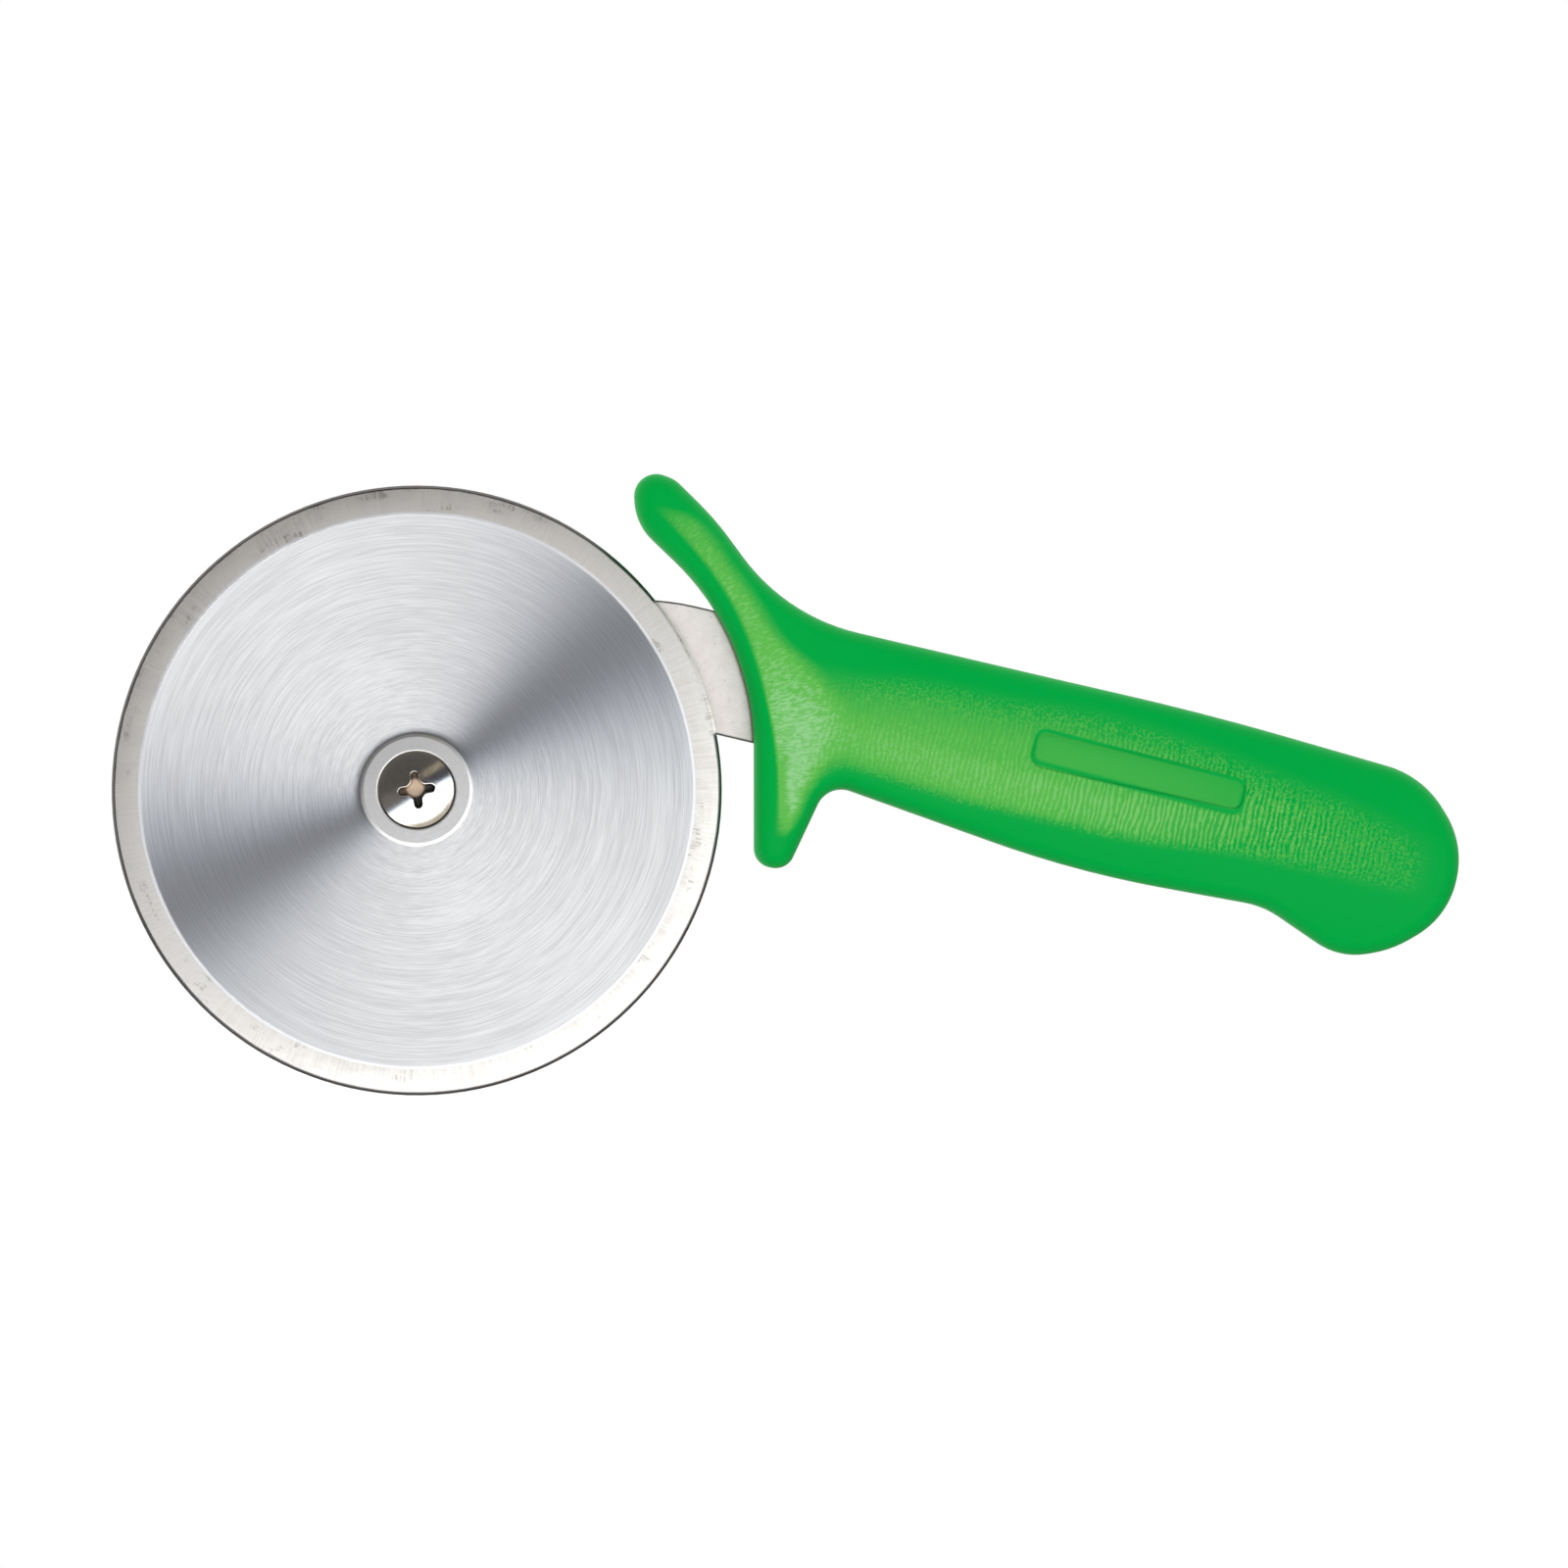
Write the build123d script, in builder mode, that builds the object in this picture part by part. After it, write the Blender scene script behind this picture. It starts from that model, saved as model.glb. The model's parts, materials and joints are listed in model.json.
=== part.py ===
from build123d import *
from math import asin, cos, degrees, radians, sin, tan
import os

# Pizza cutter wheel, millimetres, +Z up, standing as it is used.
# Origin: where the axle's centre line crosses the middle plane of the blade.
# The blade spins about Y, +X runs along the grip, and -Y is the side with the screw head.

os.makedirs("parts", exist_ok=True)

# Driving sizes: blade
blade_diameter = 101.6
blade_thickness = 1.2
bevel_width = 4.8
micro_bevel_width = 0.35
micro_bevel_thickness = 0.4
edge_land = 0.16

# Driving sizes: bushing and thrust washers
sleeve_diameter = 12.7
flange_diameter = 18.8
flange_thickness = 1.3
flange_chamfer = 0.35
front_washer_diameter = 17.6
front_washer_thickness = 0.4
rear_washer_diameter = 19.0
rear_washer_thickness = 0.8

# Driving sizes: screw with a raised countersunk head and a cross recess
screw_diameter = 6.35
screw_head_diameter = 12.6
screw_head_angle = 82
screw_head_sink = 0.25
screw_dome = 1.5
screw_end_chamfer = 0.7
screw_end_reach = 1.0
recess_span = 6.6
recess_slot = 1.8
recess_core = 3.4
recess_depth = 2.4
recess_inner_round = 0.6
recess_taper = 8
recess_turn = 21

# Driving sizes: lock nut, its nylon ring and its washer
nut_washer_diameter = 14.0
nut_washer_thickness = 1.2
nut_across_flats = 11.1
nut_hex_height = 4.4
nut_hex_chamfer = 0.6
nut_collar_diameter = 10.2
nut_collar_height = 1.9
nut_lip_thickness = 0.35
nut_lip_width = 0.45
insert_diameter = 8.6

# Driving sizes: arm, a flat plate with a round hub end, and its tang inside the handle
arm_thickness = 2.0
arm_hub_radius = 11.2
arm_lean = 50
arm_top_z = 40.5
arm_bottom_z = 20.5
arm_top_bend = 40.0
arm_bottom_bend = 25.0
arm_bury = 3.0
tang_height = 13.0
tang_length = 88.0
tang_corner = 3.0
tang_root_round = 2.0
tang_hole_diameter = 6.0
tang_hole_shares = [0.28, 0.74]

# Driving sizes: handle, seen from the side
guard_gap = 6.2
thumb_lean = 64.2
thumb_stand = 6.3
thumb_tip_radius = 3.7
guard_depth = 9.4
guard_tip_z = 1.2
guard_tip_radius = 3.4
crotch_rise = 4.3
crotch_radius = 4.3
web_radius = 33.0
grip_top_z = 42.3
grip_height = 29.7
grip_length = 115.0

# Driving sizes: handle, seen from above and along the grip
thumb_thickness = 15.6
guard_thickness = 16.4
grip_thickness = 18.6
butt_thickness = 19.4
butt_end_thickness = 15.0
guard_crown = 2.2
grip_crown = 6.5
rim_round = 2.8
rim_depth_share = 1.8

# Driving sizes: bare pad sunk in the seen side of the grip
pad_length = 36.0
pad_width = 5.9
pad_corner = 1.8
pad_depth = 0.5
pad_tilt = 1.2
pad_x_share = 0.515
pad_drop_share = 0.4

# Clearances, and the overrun that the cuts share
running_clearance = 0.05
axial_clearance = 0.05
seat_clearance = 0.05
tang_clearance = 0.05
overrun = 1.0

# Worked-out radii and places along the axle
blade_radius = blade_diameter / 2
sleeve_radius = sleeve_diameter / 2
screw_radius = screw_diameter / 2
head_radius = screw_head_diameter / 2
washer_hole_radius = sleeve_radius + seat_clearance
screw_hole_radius = screw_radius + seat_clearance
front_washer_back = -blade_thickness / 2 - axial_clearance
flange_back = front_washer_back - front_washer_thickness
flange_front = flange_back - flange_thickness
rear_washer_front = blade_thickness / 2 + axial_clearance
arm_front = rear_washer_front + rear_washer_thickness
arm_middle = arm_front + arm_thickness / 2
arm_back = arm_front + arm_thickness
nut_front = arm_back + nut_washer_thickness
collar_front = nut_front + nut_hex_height
nut_back = collar_front + nut_collar_height
screw_end = nut_back + screw_end_reach

# Worked-out places of the handle
guard_radius = blade_radius + guard_gap
guard_x = guard_radius
butt_x = guard_x + grip_length
grip_bottom_z = grip_top_z - grip_height
grip_middle_z = (grip_top_z + grip_bottom_z) / 2


def across(y):
    """Plane square to the axle at y, +X to the right and +Z up, looking towards the seen side."""
    return Plane(origin=(0, y, 0), x_dir=(1, 0, 0), z_dir=(0, -1, 0))


def around(radius, angle):
    """Point at a distance and an angle from the axle."""
    return (radius * cos(radians(angle)), radius * sin(radians(angle)))


# Blade: a flat disc ground to a bevel on both sides, with a fine second bevel at the edge
bevel_start = blade_radius - bevel_width
micro_start = blade_radius - micro_bevel_width
blade_hole_radius = sleeve_radius + running_clearance
with BuildPart() as blade:
    with BuildSketch(Plane.XY):
        with BuildLine():
            Polyline(
                (blade_hole_radius, -blade_thickness / 2),
                (bevel_start, -blade_thickness / 2),
                (micro_start, -micro_bevel_thickness / 2),
                (blade_radius, -edge_land / 2),
                (blade_radius, edge_land / 2),
                (micro_start, micro_bevel_thickness / 2),
                (bevel_start, blade_thickness / 2),
                (blade_hole_radius, blade_thickness / 2),
                close=True,
            )
        make_face()
    revolve(axis=Axis.Y)
blade.part.label = "blade"
export_step(blade.part, "parts/blade.step")

# Front thrust washer: thin nylon ring between the bushing's flange and the blade
with BuildPart() as front_washer:
    with BuildSketch(across(front_washer_back)):
        Circle(front_washer_diameter / 2)
        Circle(washer_hole_radius, mode=Mode.SUBTRACT)
    extrude(amount=front_washer_thickness)
front_washer.part.label = "front_washer"
export_step(front_washer.part, "parts/front_washer.step")

# Rear thrust washer: nylon ring that keeps the blade off the arm
with BuildPart() as rear_washer:
    with BuildSketch(across(arm_front)):
        Circle(rear_washer_diameter / 2)
        Circle(washer_hole_radius, mode=Mode.SUBTRACT)
    extrude(amount=rear_washer_thickness)
rear_washer.part.label = "rear_washer"
export_step(rear_washer.part, "parts/rear_washer.step")

# Bushing: flanged sleeve that the blade turns on, countersunk for the screw head
head_tan = tan(radians(screw_head_angle / 2))
sink_radius = head_radius + screw_head_sink * head_tan
with BuildPart() as axle_bushing:
    with BuildSketch(across(arm_front)):
        Circle(sleeve_radius)
    extrude(amount=arm_front - flange_front)
    with BuildSketch(across(flange_back)):
        Circle(flange_diameter / 2)
    extrude(amount=flange_thickness)
    flange_rim = axle_bushing.edges().group_by(Axis.Y)[0]
    chamfer(flange_rim, length=flange_chamfer)
    with BuildSketch(across(arm_front)):
        Circle(screw_hole_radius)
    extrude(amount=arm_front - flange_front, mode=Mode.SUBTRACT)
    with BuildSketch(Plane.XY):
        with BuildLine():
            Polyline(
                (0, flange_front),
                (sink_radius, flange_front),
                (0, flange_front + sink_radius / head_tan),
                close=True,
            )
        make_face()
    revolve(axis=Axis.Y, mode=Mode.SUBTRACT)
axle_bushing.part.label = "axle_bushing"
export_step(axle_bushing.part, "parts/axle_bushing.step")

# Screw: domed countersunk head with a cross recess, and a plain shank through to the nut
head_edge = flange_front + screw_head_sink
head_bottom = head_edge + (head_radius - screw_radius) / head_tan
dome_top = head_edge - screw_dome
recess_plane = across(dome_top - overrun).rotated((0, -recess_turn, 0))
with BuildPart() as axle_screw:
    with BuildSketch(Plane.XY):
        with BuildLine():
            TangentArc((0, dome_top), (head_radius, head_edge), tangent=(1, 0))
            Polyline(
                (head_radius, head_edge),
                (screw_radius, head_bottom),
                (screw_radius, screw_end - screw_end_chamfer),
                (screw_radius - screw_end_chamfer, screw_end),
                (0, screw_end),
                (0, dome_top),
            )
        make_face()
    revolve(axis=Axis.Y)
    with BuildSketch(recess_plane) as recess:
        SlotOverall(recess_span, recess_slot)
        SlotOverall(recess_span, recess_slot, rotation=90)
        Rectangle(recess_core, recess_core, rotation=45)
        inner_corners = recess.vertices().sort_by_distance((0, 0, 0))[:8]
        fillet(inner_corners, radius=recess_inner_round)
    extrude(amount=-recess_depth - overrun, taper=recess_taper, mode=Mode.SUBTRACT)
axle_screw.part.label = "axle_screw"
export_step(axle_screw.part, "parts/axle_screw.step")

# Nut washer: steel ring behind the arm
with BuildPart() as nut_washer:
    with BuildSketch(across(nut_front)):
        Circle(nut_washer_diameter / 2)
        Circle(screw_hole_radius, mode=Mode.SUBTRACT)
    extrude(amount=nut_washer_thickness)
nut_washer.part.label = "nut_washer"
export_step(nut_washer.part, "parts/nut_washer.step")

# Lock nut: hexagon with a round collar, whose lip holds the nylon ring
hex_radius = nut_across_flats / 2
insert_radius = insert_diameter / 2
with BuildPart() as lock_nut:
    with BuildSketch(across(collar_front)):
        RegularPolygon(hex_radius, 6, major_radius=False)
    extrude(amount=nut_hex_height)
    with BuildSketch(Plane.XY):
        with BuildLine():
            Polyline(
                (0, nut_front),
                (hex_radius, nut_front),
                (hex_radius + nut_hex_chamfer / head_tan, nut_front + nut_hex_chamfer),
                (hex_radius + nut_hex_chamfer / head_tan, collar_front - nut_hex_chamfer),
                (hex_radius, collar_front),
                (0, collar_front),
                close=True,
            )
        make_face()
    revolve(axis=Axis.Y, mode=Mode.INTERSECT)
    with BuildSketch(across(nut_back)):
        Circle(nut_collar_diameter / 2)
    extrude(amount=nut_collar_height)
    collar_rim = lock_nut.edges().group_by(Axis.Y)[-1]
    fillet(collar_rim, radius=nut_lip_thickness)
    with BuildSketch(across(nut_back)):
        Circle(insert_radius - nut_lip_width)
    extrude(amount=nut_lip_thickness, mode=Mode.SUBTRACT)
    with BuildSketch(across(nut_back - nut_lip_thickness)):
        Circle(insert_radius)
    extrude(amount=nut_collar_height - nut_lip_thickness, mode=Mode.SUBTRACT)
    with BuildSketch(across(nut_back)):
        Circle(screw_hole_radius)
    extrude(amount=nut_back - nut_front, mode=Mode.SUBTRACT)
lock_nut.part.label = "lock_nut"
export_step(lock_nut.part, "parts/lock_nut.step")

# Locking ring: nylon ring in the nut's collar, in a light grip on the screw
with BuildPart() as nut_insert:
    with BuildSketch(across(nut_back - nut_lip_thickness)):
        Circle(insert_radius)
        Circle(screw_hole_radius, mode=Mode.SUBTRACT)
    extrude(amount=nut_collar_height - nut_lip_thickness)
nut_insert.part.label = "nut_insert"
export_step(nut_insert.part, "parts/nut_insert.step")

# Arm: hub disc, a strip that leans up to the guard, and the tang, all of one plate
lean_sin = sin(radians(arm_lean))
lean_cos = cos(radians(arm_lean))
arm_top_x = (arm_top_z * lean_cos - arm_hub_radius) / lean_sin
arm_bottom_x = (arm_bottom_z * lean_cos + arm_hub_radius) / lean_sin
shoulder_x = guard_x + arm_bury
arm_middle_z = (arm_top_z + arm_bottom_z) / 2
tang_end_x = shoulder_x + tang_length
tang_hole_places = [(shoulder_x + share * tang_length, arm_middle_z) for share in tang_hole_shares]
arm_corners = [
    (arm_top_x, arm_top_z, arm_top_bend),
    (shoulder_x, arm_top_z, tang_corner),
    (shoulder_x, arm_middle_z + tang_height / 2, tang_root_round),
    (tang_end_x, arm_middle_z + tang_height / 2, tang_corner),
    (tang_end_x, arm_middle_z - tang_height / 2, tang_corner),
    (shoulder_x, arm_middle_z - tang_height / 2, tang_root_round),
    (shoulder_x, arm_bottom_z, tang_corner),
    (arm_bottom_x, arm_bottom_z, arm_bottom_bend),
    (arm_hub_radius * lean_sin, -arm_hub_radius * lean_cos, 0),
    (-arm_hub_radius * lean_sin, arm_hub_radius * lean_cos, 0),
]
with BuildPart() as arm:
    with BuildSketch(across(arm_back)) as arm_outline:
        with BuildLine():
            FilletPolyline(
                *[(x, z) for x, z, radius in arm_corners],
                radius=[radius for x, z, radius in arm_corners],
                close=True,
            )
        make_face()
        Circle(arm_hub_radius)
        Circle(screw_hole_radius, mode=Mode.SUBTRACT)
        with Locations(*tang_hole_places):
            Circle(tang_hole_diameter / 2, mode=Mode.SUBTRACT)
    extrude(amount=arm_thickness)
arm.part.label = "arm"
export_step(arm.part, "parts/arm.step")

# Handle outline: corners (x, z, radius) clockwise from the thumb tip.
# They are shares of the tip radii, the guard radius and the grip's length and height.
thumb_tip_shares = [(-1.32, 1.16, 1.0), (0.68, 0.89, 1.4)]
thumb_back_shares = [(1.179, 55.4, 0.88)]
web_share = 0.065
grip_top_shares = [(0.600, -0.007, 17.0)]
butt_shares = [
    (0.313, 0.057, 0.53),
    (0.000, 0.380, 0.49),
    (0.000, 0.795, 0.47),
    (0.263, 1.047, 0.60),
    (0.539, 1.158, 0.38),
    (1.019, 0.970, 0.48),
]
belly_shares = [(0.461, 1.024, 6.0)]
guard_tip_shares = [(1.78, -0.03, 0.95), (0.13, -0.09, 0.95)]
guard_front_shares = [(1.012, 26.6, 0.68), (1.042, 44.2, 0.74)]
thumb_heel_shares = [(-0.65, -1.43, 2.6)]
run_fill_share = 0.98


def corners_by(origin, x_size, z_size, radius_size, shares):
    """Outline corners at shares of a size along X and Z, with shares of a radius."""
    return [
        (origin[0] + x * x_size, origin[1] + z * z_size, radius * radius_size)
        for x, z, radius in shares
    ]


def corners_around(shares):
    """Outline corners round the wheel, at shares of the guard radius and an angle."""
    return [
        (*around(reach * guard_radius, angle), radius * guard_radius)
        for reach, angle, radius in shares
    ]


def fit_radii(corners):
    """The same corners, with each radius limited to what the runs beside it can hold."""
    points = [Vector(x, z) for x, z, radius in corners]
    runs = [following - point for point, following in zip(points, points[1:] + points[:1])]
    turns = [before.get_angle(after) for before, after in zip(runs[-1:] + runs[:-1], runs)]
    reaches = [radius * tan(radians(turn / 2)) for (x, z, radius), turn in zip(corners, turns)]
    shares = [
        min(1, run_fill_share * run.length / (reach + next_reach))
        for run, reach, next_reach in zip(runs, reaches, reaches[1:] + reaches[:1])
    ]
    return [
        (x, z, radius * min(share, next_share))
        for (x, z, radius), share, next_share in zip(corners, shares[-1:] + shares[:-1], shares)
    ]


thumb_tip = around(guard_radius + thumb_stand, thumb_lean)
guard_foot = (guard_x, guard_tip_z)
handle_corners = fit_radii([
    *corners_by(thumb_tip, thumb_tip_radius, thumb_tip_radius, thumb_tip_radius, thumb_tip_shares),
    *corners_around(thumb_back_shares),
    (guard_x - web_share * guard_radius, grip_top_z, web_radius),
    *corners_by((guard_x, grip_top_z), grip_length, -grip_height, grip_height, grip_top_shares),
    *corners_by((butt_x, grip_top_z), -grip_height, -grip_height, grip_height, butt_shares),
    *corners_by((guard_x, grip_top_z), grip_length, -grip_height, grip_height, belly_shares),
    (guard_x + guard_depth, grip_bottom_z + crotch_rise, crotch_radius),
    *corners_by(guard_foot, guard_tip_radius, guard_tip_radius, guard_tip_radius, guard_tip_shares),
    *corners_around(guard_front_shares),
    *corners_by(thumb_tip, thumb_tip_radius, thumb_tip_radius, thumb_tip_radius, thumb_heel_shares),
])

# Handle flanks: crowned sections along X, as (place, thickness) or (place, thickness, half height).
# Places are shares of the guard's place before it and of the grip's length behind it.
guard_section_shares = [
    (0.14, thumb_thickness),
    (0.31, thumb_thickness),
    (0.47, thumb_thickness),
    (0.63, (thumb_thickness + guard_thickness) / 2),
    (0.80, guard_thickness),
    (0.97, guard_thickness),
]
neck_section_shares = [
    (0.08, (guard_thickness + grip_thickness) / 2, 1.10),
    (0.17, grip_thickness, 0.75),
]
grip_section_shares = [
    (0.29, grip_thickness),
    (0.44, grip_thickness),
    (0.59, grip_thickness),
    (0.74, grip_thickness),
    (0.87, butt_thickness),
    (0.99, butt_end_thickness),
    (1.08, butt_end_thickness),
]
guard_reach_share = 0.70
grip_reach_share = 0.62
butt_drop_share = 0.1
butt_drop_start_share = 0.6
guard_reach = guard_reach_share * guard_radius
grip_reach = grip_reach_share * grip_height
flank_sections = [
    *[(x * guard_x, thickness, guard_crown, guard_reach) for x, thickness in guard_section_shares],
    *[
        (guard_x + x * grip_length, thickness, grip_crown, reach * grip_height)
        for x, thickness, reach in neck_section_shares
    ],
    *[
        (guard_x + x * grip_length, thickness, grip_crown, grip_reach)
        for x, thickness in grip_section_shares
    ],
]


def flank_middle_z(x):
    """Height of the flanks' middle line, which drops towards the butt."""
    behind = (x - guard_x) / grip_length - butt_drop_start_share
    return grip_middle_z - max(0, behind) / (1 - butt_drop_start_share) * butt_drop_share * grip_height


# Rims are rounded on a handle drawn thinner by the rim's depth share, which is then stretched
# to its real thickness, so that they come out deeper than they are wide.
rim_tip_share = 0.85
rim_radius = min(rim_round, rim_tip_share * guard_tip_radius, rim_tip_share * thumb_tip_radius)

# Bare pad: its floor follows the lean of the crowned flank at its middle
flank_radius = (grip_reach ** 2 + grip_crown ** 2) / (2 * grip_crown)
pad_x = guard_x + pad_x_share * grip_length
pad_z = grip_top_z - pad_drop_share * grip_height
pad_lean = degrees(asin((pad_z - grip_middle_z) / flank_radius))
pad_surface_y = arm_middle - grip_thickness / 2 + flank_radius * (1 - cos(radians(pad_lean)))
pad_level = Plane(origin=(pad_x, pad_surface_y, pad_z), x_dir=(1, 0, 0), z_dir=(0, -1, 0))
pad_plane = pad_level.rotated((-pad_lean, -pad_tilt, 0))

with BuildPart() as handle:
    with BuildSketch(across(arm_middle)):
        with BuildLine():
            FilletPolyline(
                *[(x, z) for x, z, radius in handle_corners],
                radius=[radius for x, z, radius in handle_corners],
                close=True,
            )
        make_face()
    extrude(amount=butt_thickness, both=True)
    for x, thickness, crown, reach in flank_sections:
        half = thickness / 2 / rim_depth_share
        edge = half - crown / rim_depth_share
        section_plane = Plane(origin=(x, arm_middle, flank_middle_z(x)), x_dir=(0, 1, 0), z_dir=(1, 0, 0))
        with BuildSketch(section_plane):
            with BuildLine():
                ThreePointArc((-edge, -reach), (-half, 0), (-edge, reach))
                Line((-edge, reach), (edge, reach))
                ThreePointArc((edge, reach), (half, 0), (edge, -reach))
                Line((edge, -reach), (-edge, -reach))
            make_face()
    loft(mode=Mode.INTERSECT)
    seen_flank = handle.faces().sort_by(Axis.Y)[0]
    back_flank = handle.faces().sort_by(Axis.Y)[-1]
    fillet(seen_flank.edges() + back_flank.edges(), radius=rim_radius)
    scale(by=(1, rim_depth_share, 1), about=(0, arm_middle, 0))
    with BuildSketch(across(arm_back + tang_clearance)):
        add(arm_outline.sketch)
        offset(amount=tang_clearance)
    extrude(amount=arm_thickness + 2 * tang_clearance, mode=Mode.SUBTRACT)
    with BuildSketch(pad_plane.offset(-pad_depth)):
        RectangleRounded(pad_length, pad_width, pad_corner)
    extrude(amount=pad_depth + overrun, mode=Mode.SUBTRACT)
handle.part.label = "handle"
export_step(handle.part, "parts/handle.step")
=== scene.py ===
import json
from math import cos, pi, radians, sin

import bpy
from mathutils import Matrix, Vector


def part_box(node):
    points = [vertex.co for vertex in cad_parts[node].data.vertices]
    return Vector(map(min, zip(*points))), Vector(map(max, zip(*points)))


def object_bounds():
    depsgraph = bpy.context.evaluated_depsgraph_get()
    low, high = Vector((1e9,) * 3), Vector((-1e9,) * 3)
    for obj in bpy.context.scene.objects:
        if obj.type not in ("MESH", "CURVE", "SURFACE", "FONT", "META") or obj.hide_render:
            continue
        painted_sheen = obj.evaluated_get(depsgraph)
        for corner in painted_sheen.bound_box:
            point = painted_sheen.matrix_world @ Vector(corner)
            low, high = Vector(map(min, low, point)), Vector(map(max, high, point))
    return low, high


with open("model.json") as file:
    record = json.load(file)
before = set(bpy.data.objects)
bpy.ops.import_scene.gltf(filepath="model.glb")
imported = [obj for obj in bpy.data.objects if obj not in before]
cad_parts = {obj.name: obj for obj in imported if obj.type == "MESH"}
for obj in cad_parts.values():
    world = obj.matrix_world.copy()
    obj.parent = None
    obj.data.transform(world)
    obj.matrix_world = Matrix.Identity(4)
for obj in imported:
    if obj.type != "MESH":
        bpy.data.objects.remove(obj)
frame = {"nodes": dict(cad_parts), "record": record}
cad_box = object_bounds()
nodes = frame["nodes"]

# Lengths are in millimetres in the materials, and in metres elsewhere. In the materials and the world,
# a pair of numbers is where a soft step starts and ends, or its two values, and a pair of colours is
# what a blend goes from and to. Marks have a scale along the turn round the axle and one outwards.
MM = 0.001
ALONG_AXLE = (0, 1, 0)
TO_FRONT = (0, -1, 0)


def heading(angle):
    """The unit vector in the XZ plane at this angle, counted from X towards Z."""
    return cos(angle), 0, sin(angle)


# Node trees: most helpers add a node or a few, and return an output socket

def fill(socket, value):
    """Links an output socket to an input, or sets the input to a number, a colour or a vector."""
    if isinstance(value, bpy.types.NodeSocket):
        socket.id_data.links.new(value, socket)
    elif isinstance(value, tuple) and len(value) < len(socket.default_value):
        socket.default_value = (*value, 1)
    else:
        socket.default_value = value


def add(tree, kind, inputs, output=0, **settings):
    """A node of this kind with its settings and inputs, as one of its output sockets."""
    node = tree.nodes.new(kind)
    for name, value in settings.items():
        setattr(node, name, value)
    for name, value in inputs.items():
        fill(node.inputs[name], value)
    return node.outputs[output]


def calc(tree, operation, *values, clamp=False):
    return add(tree, "ShaderNodeMath", dict(enumerate(values)), operation=operation, use_clamp=clamp)


def less(tree, a, b):
    return calc(tree, "SUBTRACT", a, b)


def times(tree, first, *others):
    result = first
    for other in others:
        result = calc(tree, "MULTIPLY", result, other)
    return result


def total(tree, *shares, start=0.0):
    """The sum of (socket, factor) pairs, on top of start."""
    result = start
    for socket, factor in shares:
        result = calc(tree, "MULTIPLY_ADD", socket, factor, result)
    return result


def blend(tree, share, a, b):
    """A blend of two numbers."""
    return calc(tree, "MULTIPLY_ADD", less(tree, b, a), share, a)


def ramp(tree, value, start, end, low=0.0, high=1.0, kind="SMOOTHSTEP"):
    """A step of value from low at start to high at end, soft unless kind says LINEAR."""
    inputs = {"Value": value, "From Min": start, "From Max": end, "To Min": low, "To Max": high}
    return add(tree, "ShaderNodeMapRange", inputs, interpolation_type=kind)


def shades(tree, pattern, low=0.0, high=1.0, half=0.15):
    """From low to high over the middle of a pattern that varies round a half."""
    return ramp(tree, pattern, 0.5 - half, 0.5 + half, low, high)


def vector(tree, operation, a, b=(0, 0, 0), output=0):
    return add(tree, "ShaderNodeVectorMath", {0: a, 1: b}, output, operation=operation)


def dot(tree, a, b):
    return vector(tree, "DOT_PRODUCT", a, b, output=1)


def length(tree, a):
    return vector(tree, "LENGTH", a, output=1)


def scaled(tree, a, factor):
    return add(tree, "ShaderNodeVectorMath", {0: a, "Scale": factor}, operation="SCALE")


def stretched(tree, a, factors):
    return vector(tree, "MULTIPLY", a, factors)


def flattened(tree, point):
    """The point without its Y, which is its distance along the axle."""
    return stretched(tree, point, (1, 0, 1))


def combine(tree, x, y, z):
    return add(tree, "ShaderNodeCombineXYZ", {0: x, 1: y, 2: z})


def split(tree, a):
    return tuple(add(tree, "ShaderNodeSeparateXYZ", {0: a}).node.outputs)


def noise(tree, place, detail=2.0, roughness=0.5, distortion=0.0):
    inputs = {"Vector": place, "Scale": 1.0, "Detail": detail, "Roughness": roughness}
    return add(tree, "ShaderNodeTexNoise", {**inputs, "Distortion": distortion})


def mix(tree, share, a, b):
    """A blend of two colours, or of two normals."""
    node = tree.nodes.new("ShaderNodeMix")
    node.data_type = "RGBA"
    colours = [socket for socket in node.inputs if socket.type == "RGBA"]
    for socket, value in ((node.inputs["Factor"], share), (colours[0], a), (colours[1], b)):
        fill(socket, value)
    return next(socket for socket in node.outputs if socket.type == "RGBA")


def bump(tree, height, normal=None):
    """A normal from a height in millimetres, on top of another normal if one is given."""
    inputs = {"Height": height, "Distance": MM, "Strength": 1.0}
    if normal:
        inputs["Normal"] = normal
    return add(tree, "ShaderNodeBump", inputs)


def softened(tree, radius):
    """A normal as if edges were rounded to this radius in millimetres."""
    return add(tree, "ShaderNodeBevel", {"Radius": radius * MM}, samples=8)


def true_normal(tree):
    return add(tree, "ShaderNodeNewGeometry", {}, "True Normal")


def to_world(tree, direction):
    settings = {"vector_type": "VECTOR", "convert_from": "OBJECT", "convert_to": "WORLD"}
    return add(tree, "ShaderNodeVectorTransform", {0: direction}, **settings)


def seen_by_camera(tree):
    return add(tree, "ShaderNodeLightPath", {}, "Is Camera Ray")


def new_material(name):
    material = bpy.data.materials.new(name)
    material.use_nodes = True
    material.node_tree.nodes.clear()
    return material, material.node_tree


def finish(tree, shader, output="ShaderNodeOutputMaterial"):
    fill(tree.nodes.new(output).inputs["Surface"], shader)


def principled(tree, **inputs):
    """The usual shader. An input's name has underscores in place of its spaces."""
    named = {name.replace("_", " "): value for name, value in inputs.items()}
    return add(tree, "ShaderNodeBsdfPrincipled", named)


def place_in_mm(tree):
    """The point in the piece's own coordinates, in millimetres. At rest they are the part's frame."""
    return scaled(tree, add(tree, "ShaderNodeTexCoord", {}, "Object"), 1 / MM)


def round_axle(tree, point):
    """The distance from the axle's centre line, and the unit direction away from it."""
    flat = flattened(tree, point)
    return length(tree, flat), vector(tree, "NORMALIZE", flat)


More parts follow.
